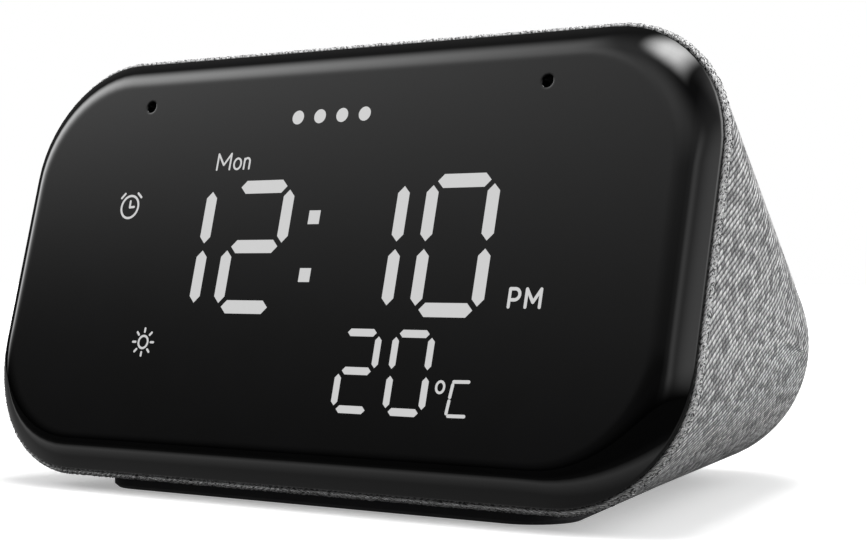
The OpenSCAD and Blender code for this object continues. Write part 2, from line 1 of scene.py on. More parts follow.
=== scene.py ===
# Bedside smart display: a glossy rolled cover with lit figures on it, a stretched cloth sleeve,
# four keys on top and a rear bay. Shapes are worked out in millimetres and made in metres.
import math
import bmesh
import bpy
import numpy as np
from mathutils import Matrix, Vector


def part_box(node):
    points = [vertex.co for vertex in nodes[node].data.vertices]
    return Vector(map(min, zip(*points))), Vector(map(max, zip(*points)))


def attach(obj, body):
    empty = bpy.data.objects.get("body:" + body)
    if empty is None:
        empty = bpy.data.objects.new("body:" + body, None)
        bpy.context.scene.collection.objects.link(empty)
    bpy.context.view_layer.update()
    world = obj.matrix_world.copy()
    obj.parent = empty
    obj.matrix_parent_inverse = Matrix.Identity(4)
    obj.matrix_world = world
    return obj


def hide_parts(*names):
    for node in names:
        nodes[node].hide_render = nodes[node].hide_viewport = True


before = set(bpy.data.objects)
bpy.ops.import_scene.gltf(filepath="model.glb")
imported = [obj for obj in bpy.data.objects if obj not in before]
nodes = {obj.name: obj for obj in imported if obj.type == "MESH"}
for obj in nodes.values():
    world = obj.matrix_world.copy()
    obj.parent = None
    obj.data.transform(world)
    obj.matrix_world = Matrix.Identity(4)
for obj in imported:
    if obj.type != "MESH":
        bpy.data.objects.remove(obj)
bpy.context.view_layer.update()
mm = 0.001
rng = np.random.default_rng(7)
print("frame loaded:", len(nodes), "nodes")

body = dict(
    rimWide=120.6, rimHigh=64, rimCorner=18.2,    # the cloth's rim, in the face's plane
    lean=math.radians(14.7), faceHigh=34,         # backward lean, and the face centre's height
    rimDepth=4.13,                                # rim behind the flat face
    heelRadius=18.1, heelWide=93.2, heelCorner=22.5, heelHigh=20.9,
    bayWide=58.6, bayHigh=15.6, bayCorner=5.3,
    heelBack=42.259, bayFloor=42.259 - 4.7,       # the heel before the bay is cut, and the bay's panel
)
cover = dict(
    halfWide=59.75, halfHigh=31.45, corner=17.65,   # at the outer edge
    rollWide=5, rollDrop=3.3, rollRows=18,
    backDepth=3.38, skirtInset=4.1, skirtWall=1.5, skirtDepth=8, thick=2, seamOverlap=0.3,
    micAcross=35, micUp=23.2, micRadius=0.85, micDepth=1.9, micRound=0.14,
)
sinLean, cosLean = math.sin(body["lean"]), math.cos(body["lean"])
flatHalfHigh = cover["halfHigh"] - cover["rollWide"]
frontReach = flatHalfHigh * sinLean + (cover["rollWide"] * sinLean) ** 2 / (4 * cover["rollDrop"] * cosLean)
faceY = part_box("front_cover")[0].y / mm + frontReach
heelY = body["heelBack"] - body["heelRadius"]


# ---- frames and mesh making ----

def onFace(u, v, w):
    # u along the face, v up it and w out of it, from the middle of the flat face
    u, v, w = np.broadcast_arrays(u, v, w)
    return np.stack([u, faceY + v * sinLean - w * cosLean, body["faceHigh"] + v * cosLean + w * sinLean], -1)


rimTop = onFace(0.0, body["rimHigh"] / 2, -body["rimDepth"])
topRun = math.hypot(heelY - rimTop[1], body["heelHigh"] - rimTop[2])
topSlope = (math.atan2(rimTop[2] - body["heelHigh"], heelY - rimTop[1])
            - math.asin(body["heelRadius"] / topRun))
topNormal = np.array([0, math.sin(topSlope), math.cos(topSlope)])
topDown = np.array([0, math.cos(topSlope), -math.sin(topSlope)])


def onTop(x, y, z):
    # x along the rim, y down the sloping top and z out of it, from the middle of the rim
    x, y, z = np.broadcast_arrays(x, y, z)
    return rimTop + x[..., None] * np.array([1, 0, 0]) + y[..., None] * topDown + z[..., None] * topNormal


def onBay(x, up, out):
    # x across, up from the bay's middle and out of the panel's outer face
    x, up, out = np.broadcast_arrays(x, up, out)
    return np.stack([x, body["bayFloor"] + out, body["heelHigh"] + up], -1)


def onGround(x, y, z):
    x, y, z = np.broadcast_arrays(x, y, z)
    return np.stack([x, y, z], -1)


def gridFaces(rows, cols):
    # quads of a grid of points kept row by row
    start = (np.arange(rows - 1)[:, None] * cols + np.arange(cols - 1)).ravel()
    return np.stack([start, start + 1, start + cols + 1, start + cols], -1).tolist()


def makeMesh(name, points, faces, surface, uv=None):
    # points in mm and faces as index lists; doubles are merged and the faces turned outwards
    mesh = bpy.data.meshes.new(name)
    mesh.from_pydata((np.asarray(points, float).reshape(-1, 3) * mm).tolist(), [], faces)
    if uv is not None:
        index = np.empty(len(mesh.loops), np.int32)
        mesh.loops.foreach_get("vertex_index", index)
        layer = mesh.uv_layers.new(name="threads")
        layer.data.foreach_set("uv", uv.reshape(-1, 2)[index].astype(np.float32).ravel())
    bm = bmesh.new()
    bm.from_mesh(mesh)
    bmesh.ops.remove_doubles(bm, verts=bm.verts, dist=0.002 * mm)
    middle = sum((v.co for v in bm.verts), Vector()) / len(bm.verts)
    bulk = sum(f.calc_area() * f.normal.dot(f.calc_center_median() - middle) for f in bm.faces)
    if bulk < 0:
        bmesh.ops.reverse_faces(bm, faces=bm.faces)
    bm.to_mesh(mesh)
    bm.free()
    mesh.polygons.foreach_set("use_smooth", np.ones(len(mesh.polygons), bool))
    mesh.materials.append(surface)
    piece = bpy.data.objects.new(name, mesh)
    bpy.context.scene.collection.objects.link(piece)
    return piece


def applyAll(piece):
    # bakes the modifiers into the mesh
    bpy.context.view_layer.update()
    ready = piece.evaluated_get(bpy.context.evaluated_depsgraph_get())
    mesh = bpy.data.meshes.new_from_object(ready)
    piece.modifiers.clear()
    piece.data = mesh


def place(piece, bodyName, slotName, *replaced):
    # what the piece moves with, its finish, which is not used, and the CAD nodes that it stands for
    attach(piece, bodyName)
    if replaced:
        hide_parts(*replaced)
    return piece


def ringTurns(corner=14, wide=40, high=24):
    # a rounded rectangle from its bottom middle round to it again: the outward normal's angle, and
    # where the corner arc's centre stands across and up, from -1 to 1
    quarter = math.pi / 2
    half = wide // 2
    stretches = [(-1, -1, 0, 1, -1, -1, half), (-1, 0, 1, 1, -1, -1, corner), (0, 0, 1, 1, -1, 1, high),
                 (0, 1, 1, 1, 1, 1, corner), (1, 1, 1, 0, 1, 1, half), (1, 1, 0, -1, 1, 1, half),
                 (1, 2, -1, -1, 1, 1, corner), (2, 2, -1, -1, 1, -1, high),
                 (2, 3, -1, -1, -1, -1, corner), (3, 3, -1, 0, -1, -1, half)]
    parts = [np.stack([np.linspace(a * quarter, b * quarter, n, endpoint=False),
                       np.linspace(c, d, n, endpoint=False), np.linspace(e, f, n, endpoint=False)])
             for a, b, c, d, e, f, n in stretches]
    return np.concatenate(parts + [np.array([[3 * quarter], [0], [-1]])], 1)


def ringAt(ring, halfWide, halfHigh, corner):
    # the ring's points at a size: the corner arc's centre plus the corner radius along the normal
    turn, across, up = ring
    return (across * (halfWide - corner) + corner * np.cos(turn),
            up * (halfHigh - corner) + corner * np.sin(turn))


# ---- materials ----

def hexColour(code):
    # sRGB hex to linear, with alpha 1
    parts = [int(code[i:i + 2], 16) / 255 for i in (1, 3, 5)]
    return tuple(c / 12.92 if c <= 0.04045 else ((c + 0.055) / 1.055) ** 2.4 for c in parts) + (1,)


def put(tree, kind, inputs=None, **settings):
    # adds a node with its settings; an input is a value or another node's output
    made = tree.nodes.new("ShaderNode" + kind)
    for key, value in settings.items():
        setattr(made, key, value)
    for key, value in (inputs or {}).items():
        if isinstance(value, bpy.types.NodeSocket):
            tree.links.new(value, made.inputs[key])
        else:
            made.inputs[key].default_value = value
    return made


def material(name, **constants):
    # a material with a principled shader whose constants sit on its own sockets
    made = bpy.data.materials.new(name)
    made.use_nodes = True
    tree = made.node_tree
    tree.nodes.clear()
    shader = put(tree, "BsdfPrincipled")
    put(tree, "OutputMaterial", {"Surface": shader.outputs[0]})
    for key, value in constants.items():
        shader.inputs[key.replace("_", " ")].default_value = value
    return made, tree, shader


def ramp(tree, factor, *stops):
    # a colour ramp of (place, hex) stops
    made = put(tree, "ValToRGB", {"Fac": factor})
    while len(made.color_ramp.elements) < len(stops):
        made.color_ramp.elements.new(0.5)
    for element, (at, code) in zip(made.color_ramp.elements, stops):
        element.position = at
        element.color = hexColour(code)
    return made.outputs["Color"]


def perMetre(sizeMm):
    # pattern scale whose features are about this many millimetres across
    return 1 / (sizeMm * mm)


def finish(tree, shader, colour=None, rough=None, height=None, depthMm=0.0):
    # links a pattern's colour, roughness and relief; the relief's height of 0 to 1 is depthMm deep
    if colour is not None:
        tree.links.new(colour, shader.inputs["Base Color"])
    if rough is not None:
        tree.links.new(rough, shader.inputs["Roughness"])
    if height is not None:
        bump = put(tree, "Bump", {"Height": height, "Distance": depthMm * mm})
        tree.links.new(bump.outputs[0], shader.inputs["Normal"])


def noiseOf(tree, sizeMm, detail=2.0, stretch=(1, 1, 1), turn=(0, 0, 0)):
    # soft noise whose spots are about sizeMm across, drawn out where stretch is under 1
    point = put(tree, "TexCoord").outputs["Object"]
    laid = put(tree, "Mapping", {"Vector": point, "Scale": stretch, "Rotation": turn}).outputs[0]
    return put(tree, "TexNoise", {"Vector": laid, "Scale": perMetre(sizeMm), "Detail": detail}).outputs["Fac"]


def spread(tree, value, low, high, fromLow=0.3, fromHigh=0.7):
    # brings the middle of a noise's range to low..high
    return put(tree, "MapRange", {"Value": value, "From Min": fromLow, "From Max": fromHigh,
                                  "To Min": low, "To Max": high}).outputs[0]


def grained(name, dark, light, rough, grainMm, depthMm, stretch=(1, 1, 1), turn=(0, 0, 0), **constants):
    # an even fine grain: mottled between two close colours, with its roughness varied and its grain raised
    made, tree, shader = material(name, **constants)
    fine = noiseOf(tree, grainMm, 3.0, stretch, turn)
    broad = noiseOf(tree, grainMm * 25)
    both = put(tree, "Math", {0: fine, 1: broad}, operation="ADD").outputs[0]
    finish(tree, shader, ramp(tree, spread(tree, both, 0, 1, 0.7, 1.3), (0, dark), (1, light)),
           spread(tree, broad, rough - 0.05, rough + 0.05), fine, depthMm)
    return made


def glossAcrylic():
    # smoke-black acrylic, moulded and hard coated: deep black, mirror-like, with a faint polishing haze
    made, tree, shader = material("black gloss acrylic, moulded", IOR=1.5)
    haze = noiseOf(tree, 9)
    finish(tree, shader, ramp(tree, haze, (0.3, "#050505"), (0.7, "#070708")),
           spread(tree, haze, 0.035, 0.06))
    return made


def litAcrylic():
    # frosted acrylic, glowing: an even cool white that holds its own over reflections
    glow = hexColour("#CDCDCD")
    made, tree, shader = material("frosted acrylic, lit", IOR=1.49, Emission_Color=glow,
                                  Emission_Strength=0.97)
    frost = noiseOf(tree, 0.6)
    finish(tree, shader, ramp(tree, frost, (0.3, "#0A0A0A"), (0.7, "#101010")), spread(tree, frost, 0.2, 0.3))
    return made


def heatherTwill():
    # grey heather polyester, woven in a twill and stretched: pale and dark floats along slanting ribs
    rib, floatLong, lean = 0.66, 2.0, math.radians(-49)         # mm apart, mm long, and the ribs' slant
    lipEnd, weaveStart = 1.0, 1.2                               # mm from the cut edge
    made, tree, shader = material("heather polyester twill", Sheen_Weight=0.25, Sheen_Roughness=0.6, IOR=1.46,
                                  Specular_IOR_Level=0.2)
    threads = put(tree, "UVMap", uv_map="threads").outputs[0]
    wander = put(tree, "TexNoise", {"Vector": threads, "Scale": 0.35, "Detail": 2.0}).outputs["Color"]
    shifted = put(tree, "VectorMath", {0: wander, 1: (0.5, 0.5, 0.5)}, operation="SUBTRACT").outputs[0]
    bent = put(tree, "VectorMath", {0: shifted, 1: (0.2, 0.2, 0), 2: threads},
               operation="MULTIPLY_ADD").outputs[0]
    laid = put(tree, "Mapping", {"Vector": bent, "Rotation": (0, 0, lean), "Scale": (rib, floatLong, 1)},
               vector_type="TEXTURE").outputs[0]
    apart = put(tree, "SeparateXYZ", {"Vector": laid})
    row = put(tree, "Math", {0: apart.outputs[0]}, operation="FLOOR").outputs[0]
    step = put(tree, "TexWhiteNoise", {"W": row}, noise_dimensions="1D").outputs["Value"]
    along = put(tree, "Math", {0: apart.outputs[1], 1: step}, operation="ADD").outputs[0]
    cell = put(tree, "Math", {0: along}, operation="FLOOR").outputs[0]
    yarn = put(tree, "TexWhiteNoise", {"Vector": put(tree, "CombineXYZ", {"X": row, "Y": cell}).outputs[0]},
               noise_dimensions="2D").outputs["Value"]
    hills = []
    for distance in (apart.outputs[0], along):
        part = put(tree, "Math", {0: distance}, operation="FRACT").outputs[0]
        halfTurn = put(tree, "Math", {0: part, 1: math.pi}, operation="MULTIPLY").outputs[0]
        hills.append(put(tree, "Math", {0: halfTurn}, operation="SINE").outputs[0])
    flatter = put(tree, "Math", {0: hills[1], 1: 0.35}, operation="POWER").outputs[0]
    hill = put(tree, "Math", {0: hills[0], 1: flatter}, operation="MULTIPLY").outputs[0]
    fibre = put(tree, "TexNoise", {"Vector": threads, "Scale": 5.5, "Detail": 2.0}).outputs["Fac"]
    dye = put(tree, "Math", {0: yarn, 1: 0.6, 2: spread(tree, fibre, 0.0, 0.45)}, operation="MULTIPLY_ADD")
    # painted shade: each float's colour darkens to a tenth towards its edges, following its rounded profile
    # where the floats dip
    paintedFloatShade = spread(tree, hill, 0.1, 1.0, 0.1, 0.75)
    woven = put(tree, "Math", {0: dye.outputs[0], 1: paintedFloatShade}, operation="MULTIPLY").outputs[0]
    # on the lip, the first millimetre, the weave has come apart into flecks
    depth = put(tree, "SeparateXYZ", {"Vector": threads}).outputs[1]
    flecks = put(tree, "TexNoise", {"Vector": threads, "Scale": 3.4, "Detail": 1.0}).outputs["Fac"]
    frayed = spread(tree, flecks, 0.02, 0.8, 0.36, 0.52)
    tone = put(tree, "MapRange", {"Value": depth, "From Min": lipEnd, "From Max": weaveStart,
                                  "To Min": frayed, "To Max": woven}).outputs[0]
    colour = ramp(tree, tone, (0.05, "#2A2A2C"), (0.2, "#7A7A7C"), (0.42, "#D6D6D7"), (0.75, "#FFFFFF"))
    height = put(tree, "Math", {0: fibre, 1: 0.35, 2: hill}, operation="MULTIPLY_ADD").outputs[0]
    finish(tree, shader, colour, spread(tree, fibre, 0.85, 0.95), height, 0.22)
    return made


def cutYarn():
    # ends of the heather yarn at the cut edge, some bleached and some dyed dark
    made, tree, shader = material("heather polyester yarn, cut", Sheen_Weight=0.2, IOR=1.46,
                                  Specular_IOR_Level=0.2)
    shade = put(tree, "SeparateXYZ", {"Vector": put(tree, "UVMap", uv_map="threads").outputs[0]}).outputs[0]
    fuzz = noiseOf(tree, 0.12)
    tone = put(tree, "Math", {0: fuzz, 1: 0.3, 2: shade}, operation="MULTIPLY_ADD").outputs[0]
    colour = ramp(tree, tone, (0.3, "#0C0C0D"), (0.46, "#5A5A5B"), (0.6, "#E2E2E3"), (1, "#FFFFFF"))
    finish(tree, shader, colour, spread(tree, fuzz, 0.8, 0.95), fuzz, 0.03)
    return made


def circuitBoard(name, mask, trace):
    # glass-fibre board under solder mask: copper tracks show through as a faint relief of lanes
    made, tree, shader = material(name, IOR=1.5, Coat_Weight=0.4, Coat_Roughness=0.25)
    point = put(tree, "TexCoord").outputs["Object"]
    lanes = put(tree, "TexVoronoi", {"Vector": point, "Scale": perMetre(2.6)}, distance="MANHATTAN",
                feature="F1").outputs["Distance"]
    track = put(tree, "Math", {0: put(tree, "Math", {0: lanes, 1: 5.0}, operation="MULTIPLY").outputs[0]},
                operation="FRACT").outputs[0]
    on = spread(tree, track, 0, 1, 0.6, 0.66)
    finish(tree, shader, ramp(tree, on, (0.0, mask), (1, trace)),
           spread(tree, noiseOf(tree, 3), 0.3, 0.42), on, 0.03)
    return made


def striped(name, dark, light, pitchMm, axis, rough, depthMm, turn=(0, 0, 0), **constants):
    # wound wire or etched lanes: bands this far apart, each a rounded ridge
    made, tree, shader = material(name, **constants)
    point = put(tree, "TexCoord").outputs["Object"]
    laid = put(tree, "Mapping", {"Vector": point, "Rotation": turn}).outputs[0]
    bands = put(tree, "TexWave", {"Vector": laid, "Scale": perMetre(pitchMm) * 2 * math.pi / 20},
                bands_direction=axis).outputs["Fac"]
    finish(tree, shader, ramp(tree, bands, (0.1, dark), (0.8, light)),
           spread(tree, noiseOf(tree, 1.5), rough - 0.05, rough + 0.05), bands, depthMm)
    return made


def silvered(name, dark, light, rough, grainMm=0.25, stretch=(1, 1, 1)):
    # bright plated or drawn metal with fine draw lines
    return grained(name, dark, light, rough, grainMm, 0.004, stretch, Metallic=1.0)


acrylic = glossAcrylic()
lit = litAcrylic()
twill = heatherTwill()
yarnEnds = cutYarn()
shellAbs = grained("dark grey ABS, spark-eroded", "#242426", "#303032", 0.55, 0.16, 0.012, IOR=1.52)
frameAbs = grained("black ABS, as moulded", "#141415", "#1C1C1D", 0.42, 0.2, 0.006, IOR=1.52)
panelAbs = grained("charcoal ABS, fine matt", "#262628", "#2F2F31", 0.5, 0.12, 0.01, IOR=1.52)
keyRubber = grained("soft-touch grey silicone", "#4A4A4D", "#56565A", 0.62, 0.1, 0.006, IOR=1.43,
                   Sheen_Weight=0.1)
keyInk = grained("white pad-printed ink", "#D9D9D6", "#E6E6E3", 0.5, 0.1, 0.004, IOR=1.5)
knobAbs = grained("white ABS, matt", "#D6D6D2", "#E0E0DD", 0.45, 0.1, 0.006, IOR=1.52)
footRubber = grained("charcoal silicone rubber", "#3E3E40", "#4A4A4C", 0.75, 0.12, 0.015, IOR=1.43)
sealRubber = grained("black EPDM rubber", "#151515", "#1E1E1E", 0.8, 0.15, 0.01, IOR=1.47)
surroundRubber = grained("butyl rubber surround", "#121213", "#1B1B1C", 0.6, 0.2, 0.008, IOR=1.48)
gasketFoam = grained("open-cell urethane foam", "#1B1B1C", "#333335", 0.95, 0.35, 0.12, IOR=1.4)
maskFilm = grained("black PET film", "#0B0B0C", "#101011", 0.35, 0.5, 0.002, IOR=1.57)
lightBlock = grained("white reflector ABS", "#DADAD6", "#E8E8E4", 0.5, 0.15, 0.006, IOR=1.52)
guideClear = grained("clear acrylic, frosted face", "#B9BFC2", "#CDD2D4", 0.25, 0.3, 0.003, IOR=1.49)
ledWhite = grained("white LED package", "#E2DFC8", "#EFEDDD", 0.4, 0.2, 0.004, IOR=1.53)
ledAmber = grained("phosphor LED package", "#E7D48C", "#F1E4AE", 0.35, 0.2, 0.004, IOR=1.53)
chipEpoxy = grained("black moulding epoxy", "#161617", "#232324", 0.6, 0.08, 0.008, IOR=1.55)
boardDark = circuitBoard("black solder mask board", "#0E1210", "#1A211D")
boardGreen = circuitBoard("green solder mask board", "#14492D", "#226B43")
shieldTin = silvered("tin-plated steel, stamped", "#B9BBBD", "#D2D4D6", 0.32)
screwZinc = silvered("zinc-plated steel", "#AFB2B6", "#C6C9CC", 0.3)
socketSteel = silvered("nickel-plated steel", "#BFC1C4", "#D8DADC", 0.22, 0.3, (1, 0.15, 1))
switchSteel = silvered("stainless steel, blanked", "#9A9DA0", "#B5B8BB", 0.35)
yokeSteel = silvered("bright zinc-plated yoke steel", "#A3A6A9", "#BDBFC2", 0.38)
micBrass = silvered("gilt brass can", "#B8995A", "#D2B675", 0.3)
contactBrass = silvered("gold-flashed brass", "#C9A44C", "#E0C071", 0.25)
capacitorCan = silvered("aluminium can, drawn", "#B4B8BC", "#CDD1D5", 0.3, 0.2, (1, 1, 0.2))
connectorNylon = grained("ivory nylon connector", "#D8D2BF", "#E7E2D2", 0.5, 0.15, 0.008, IOR=1.53)
tongueLcp = grained("white LCP tongue", "#DEDED8", "#ECECE6", 0.45, 0.12, 0.006, IOR=1.6)
jackPbt = grained("black PBT", "#131314", "#1C1C1D", 0.45, 0.15, 0.008, IOR=1.55)
lensOpal = grained("opal polycarbonate", "#E9E3D2", "#F3EEDF", 0.25, 0.6, 0.003, IOR=1.58,
                  Subsurface_Weight=0.3, Subsurface_Scale=0.001)
basketAbs = grained("grey glass-filled nylon", "#3A3A3C", "#48484B", 0.55, 0.25, 0.014, IOR=1.53)
ferrite = grained("sintered ferrite", "#2A2A2C", "#3A3A3D", 0.6, 0.3, 0.02, IOR=2.0)
conePaper = grained("black pulp paper cone", "#1D1C1B", "#2B2A28", 0.85, 0.3, 0.035, (1, 0.4, 1), IOR=1.45)
capCloth = grained("doped cloth dust cap", "#18181A", "#262628", 0.55, 0.25, 0.02, IOR=1.48)
coilCopper = striped("enamelled copper wire, wound", "#6E3517", "#C77A43", 0.28, "Z", 0.3, 0.06,
                     (topSlope, 0, 0), Metallic=1.0)
flexAmber = striped("polyimide flex with etched lanes", "#8A4A14", "#B9702B", 0.7, "X", 0.35, 0.01, IOR=1.68)
leadPvc = grained("red PVC insulation", "#A51E1A", "#BE2C26", 0.4, 0.3, 0.006, IOR=1.53)
print("materials made")

nodeSurfaces = dict(
    light_mask=maskFilm, light_block=lightBlock, time_light_guides=guideClear,
    temperature_light_guides=guideClear, legend_light_guides=guideClear, led_board=boardDark,
    display_leds=ledWhite, light_sensor=chipEpoxy, front_frame=frameAbs, frame_screws=screwZinc,
    mic_seals=sealRubber, microphones=micBrass, rear_shell=shellAbs, base_plate=panelAbs,
    rubber_foot=footRubber, base_screws=screwZinc, main_board=boardGreen, board_screws=screwZinc,
    processor=chipEpoxy, shield_can=shieldTin, board_capacitors=capacitorCan,
    board_connectors=connectorNylon, port_panel=panelAbs, usb_shell=socketSteel, usb_tongue=tongueLcp,
    power_jack=jackPbt, power_pin=contactBrass, mute_knob=knobAbs, mute_switch=switchSteel,
    night_light_lens=lensOpal, night_light_leds=ledAmber, key_board=boardGreen, key_switches=switchSteel,
    speaker_gasket=gasketFoam, speaker_basket=basketAbs, speaker_magnet=ferrite, speaker_yoke=yokeSteel,
    speaker_cone=conePaper, voice_coil=coilCopper, dust_cap=capCloth, speaker_surround=surroundRubber,
    speaker_screws=screwZinc, display_flex=flexAmber, key_flex=flexAmber, speaker_leads=leadPvc,
)
for nodeName, surface in nodeSurfaces.items():
    slots = nodes[nodeName].material_slots
    for oneSlot in slots:
        oneSlot.material = surface
    if not slots:
        nodes[nodeName].data.materials.append(surface)


# ---- front cover ----

def coverRows():
    # outline inset, height out of the face and corner radius of each ring, from the flat's edge outwards,
    # round the edge and back inside; the roll drops with the square of its own width
    s = np.linspace(0, 1, cover["rollRows"])
    inset = cover["rollWide"] * (1 - s)
    roll = [(a, -cover["rollDrop"] * b * b, a / 2) for a, b in zip(inset, s)]
    rows = [(inset[0] + cover["seamOverlap"], 0, inset[0] / 2)] + roll
    back, skirt = -cover["backDepth"], cover["skirtInset"]
    inside = skirt + cover["skirtWall"]
    return rows + [(0.08, back + 0.02, 0.08), (0.4, back, 0.4), (skirt, back, skirt),
                   (skirt, -cover["skirtDepth"], skirt),
                   (inside, -cover["skirtDepth"], inside), (inside, -cover["thick"], inside)]


def makeCover():
    # rings of a rounded rectangle stacked into the rolled edge and skirt, the inside closed by one face;
    # each half of the flat face runs from its outline in to its microphone hole and down the hole
    ring = ringTurns()
    count = ring.shape[1]
    rings = []
    for inset, out, loss in coverRows():
        u, v = ringAt(ring, cover["halfWide"] - inset, cover["halfHigh"] - inset, cover["corner"] - loss)
        rings.append(onFace(u, v, out))
    points = [np.concatenate(rings)]
    faces = gridFaces(len(rings), count)
    faces.append(((len(rings) - 1) * count + np.arange(count - 1)).tolist())
    flatInset = cover["rollWide"] + cover["seamOverlap"]
    innerU, innerV = ringAt(ring, cover["halfWide"] - flatInset, cover["halfHigh"] - flatInset,
                            cover["corner"] - cover["rollWide"] / 2)
    half = count // 2
    seam = np.linspace(innerV[0], innerV[half], 24)
    total = len(points[0])
    for side, part in ((1, slice(0, half + 1)), (-1, slice(half, count))):
        # round the half's outline: the ring's half, then the middle line back to the start
        across = np.concatenate([innerU[part], np.zeros(len(seam) - 1)])
        up = np.concatenate([innerV[part], seam[::-1][1:] if side > 0 else seam[1:]])
        away = np.stack([across - side * cover["micAcross"], up - cover["micUp"]])
        away = away / np.hypot(*away)
        lip = np.linspace(0, math.pi / 2, 5)
        radii = np.concatenate([[cover["micRadius"] + cover["micRound"] + 0.25],
                                cover["micRadius"] + cover["micRound"] * (1 - np.sin(lip)),
                                [cover["micRadius"], cover["micRadius"] * 0.6, 0]])
        outs = np.concatenate([[0], -cover["micRound"] * (1 - np.cos(lip)), [-cover["micDepth"]] * 3])
        loops = [onFace(across, up, 0.0)]
        for radius, out in zip(radii, outs):
            loops.append(onFace(side * cover["micAcross"] + radius * away[0],
                                cover["micUp"] + radius * away[1], out))
        faces += [[i + total for i in f[::-1]] for f in gridFaces(len(loops), len(across))]
        points.append(np.concatenate(loops))
        total += len(points[-1])
    piece = makeMesh("rolled_front_cover", np.concatenate(points), faces, acrylic)
    return place(piece, "housing", "cover_gloss", "front_cover")


makeCover()
print("cover made")


# ---- lit figures ----

figures = dict(
    timeAt=(-24.39, -9.99, 9.92, 24.35), time="1210", timeUp=1.42, timePitch=9.72, timeHalf=8.71,
    timeBar=1.9, timeFlat=8.48, timeUpright=7.64, colonDrop=4.1, colonSide=1.95,
    warmAt=(11.525, 20.11), warm="20", warmUp=-15.69, warmPitch=5.746, warmHalf=5.186,
    warmBar=1.03, warmFlat=4.8, warmUpright=4.25,
    dotAt=(-5.91, -1.97, 1.97, 5.91), dotUp=20.18, dotRadius=1.02,
    sunk=0.03, proud=0.03,
)
segmentsOn = {"0": "abcdef", "1": "bc", "2": "abged"}


def bar(across, up, long, thick, upright):
    # one light segment: a bar with pointed ends
    a, b = long / 2, thick / 2
    outline = np.array([[a, 0], [a - b, b], [b - a, b], [-a, 0], [b - a, -b], [a - b, -b]])
    if upright:
        outline = outline[:, ::-1] * (1, -1)
    return outline + (across, up)


def digit(figure, across, up, pitch, halfHigh, thick, flat, upright):
    # the lit segments of a figure, from a at the top round to f, with g in the middle
    spots = dict(a=(0, halfHigh, False), b=(pitch / 2, halfHigh / 2, True),
                 c=(pitch / 2, -halfHigh / 2, True),
                 d=(0, -halfHigh, False), e=(-pitch / 2, -halfHigh / 2, True),
                 f=(-pitch / 2, halfHigh / 2, True), g=(0, 0, False))
    return [bar(across + spots[s][0], up + spots[s][1], upright if spots[s][2] else flat, thick, spots[s][2])
            for s in segmentsOn[figure]]


def arc(across, up, wide, high, start, stop, count=24):
    # points along an ellipse's arc, in degrees
    turn = np.radians(np.linspace(start, stop, count))
    return np.stack([across + wide * np.cos(turn), up + high * np.sin(turn)], -1)


def stroke(path, wide, roundEnds=True):
    # outline of a pen stroke: the path moved half the width to each side, with half circles at its ends
    path = np.asarray(path, float)
    along = np.gradient(path, axis=0)
    along /= np.linalg.norm(along, axis=1)[:, None]
    side = np.stack([-along[:, 1], along[:, 0]], -1) * wide / 2
    if not roundEnds:
        return np.concatenate([path - side, (path + side)[::-1]])
    turn = np.linspace(-math.pi / 2, math.pi / 2, 9)[1:-1, None]
    end = path[-1] + wide / 2 * (np.cos(turn) * along[-1] + np.sin(turn) * side[-1] * 2 / wide)
    start = path[0] - wide / 2 * (np.cos(turn) * along[0] + np.sin(turn) * side[0] * 2 / wide)
    return np.concatenate([path - side, end, (path + side)[::-1], start])


def ringStrokes(across, up, wide, high, thick):
    # a ring as two half strokes that meet end to end
    return [stroke(arc(across, up, wide, high, a, a + 180), thick, False) for a in (0, 180)]


def tiles(name, outlines, toPlace, low, high, surface):
    # thin flat tiles: each outline as a lower and an upper ring, joined round the edge and closed by faces
    points, faces, total = [], [], 0
    for outline in outlines:
        count = len(outline)
        points += [toPlace(outline[:, 0], outline[:, 1], low), toPlace(outline[:, 0], outline[:, 1], high)]
        here = np.arange(count)
        there = np.roll(here, -1)
        faces += (np.stack([here, there, there + count, here + count], -1) + total).tolist()
        faces += [(here[::-1] + total).tolist(), (here + count + total).tolist()]
        total += 2 * count
    piece = makeMesh(name, np.concatenate(points), faces, surface)
    piece.data.polygons.foreach_set("use_smooth", np.zeros(len(piece.data.polygons), bool))
    return piece


def letterM(left, right, low, high, dip, wide):
    middle = (left + right) / 2
    return [stroke([a, b], wide) for a, b in (((left, low), (left, high)), ((left, high), (middle, dip)),
                                              ((middle, dip), (right, high)), ((right, high), (right, low)))]


def weekday():
    # the day's short name, in a light face
    pen = 0.29
    arch = np.concatenate([arc(-14.02, 13.95, 0.5, 0.55, 180, 0, 12), [[-13.52, 12.92]]])
    return (letterM(-19.62, -17.2, 12.92, 15.26, 13.6, pen) + ringStrokes(-15.8, 13.7, 0.66, 0.8, pen)
            + [stroke([(-14.52, 12.92), (-14.52, 14.42)], pen), stroke(arch, pen)])


def dayHalf():
    # the half of the day, a little bolder
    pen = 0.44
    bowl = np.concatenate([[[33.98, -4.38], [34.75, -4.38]], arc(34.75, -5.1, 0.72, 0.72, 80, -80, 10),
                           [[34.75, -5.82], [33.98, -5.82]]])
    return ([stroke([(33.98, -6.74), (33.98, -4.38)], pen), stroke(bowl, pen)]
            + letterM(36.5, 38.62, -6.74, -4.4, -6.1, pen))


def alarmSign():
    # a small alarm clock: a ring, two ears and two hands
    return (ringStrokes(-35.67, 7.66, 1.7, 1.7, 0.34)
            + [stroke(p, 0.34) for p in ([(-37.65, 9.06), (-37.03, 9.72)], [(-34.4, 9.74), (-33.65, 9.12)],
                                         [(-35.7, 8.54), (-35.68, 7.6)], [(-35.68, 7.6), (-34.83, 7.66)])])


def sunSign():
    turn = np.radians(np.arange(0, 360, 45))
    rays = [stroke([(-27.96 + r * math.cos(t), -12.68 + r * math.sin(t)) for r in (1.5, 2.0)], 0.33)
            for t in turn]
    return ringStrokes(-27.96, -12.68, 0.9, 0.9, 0.32) + rays


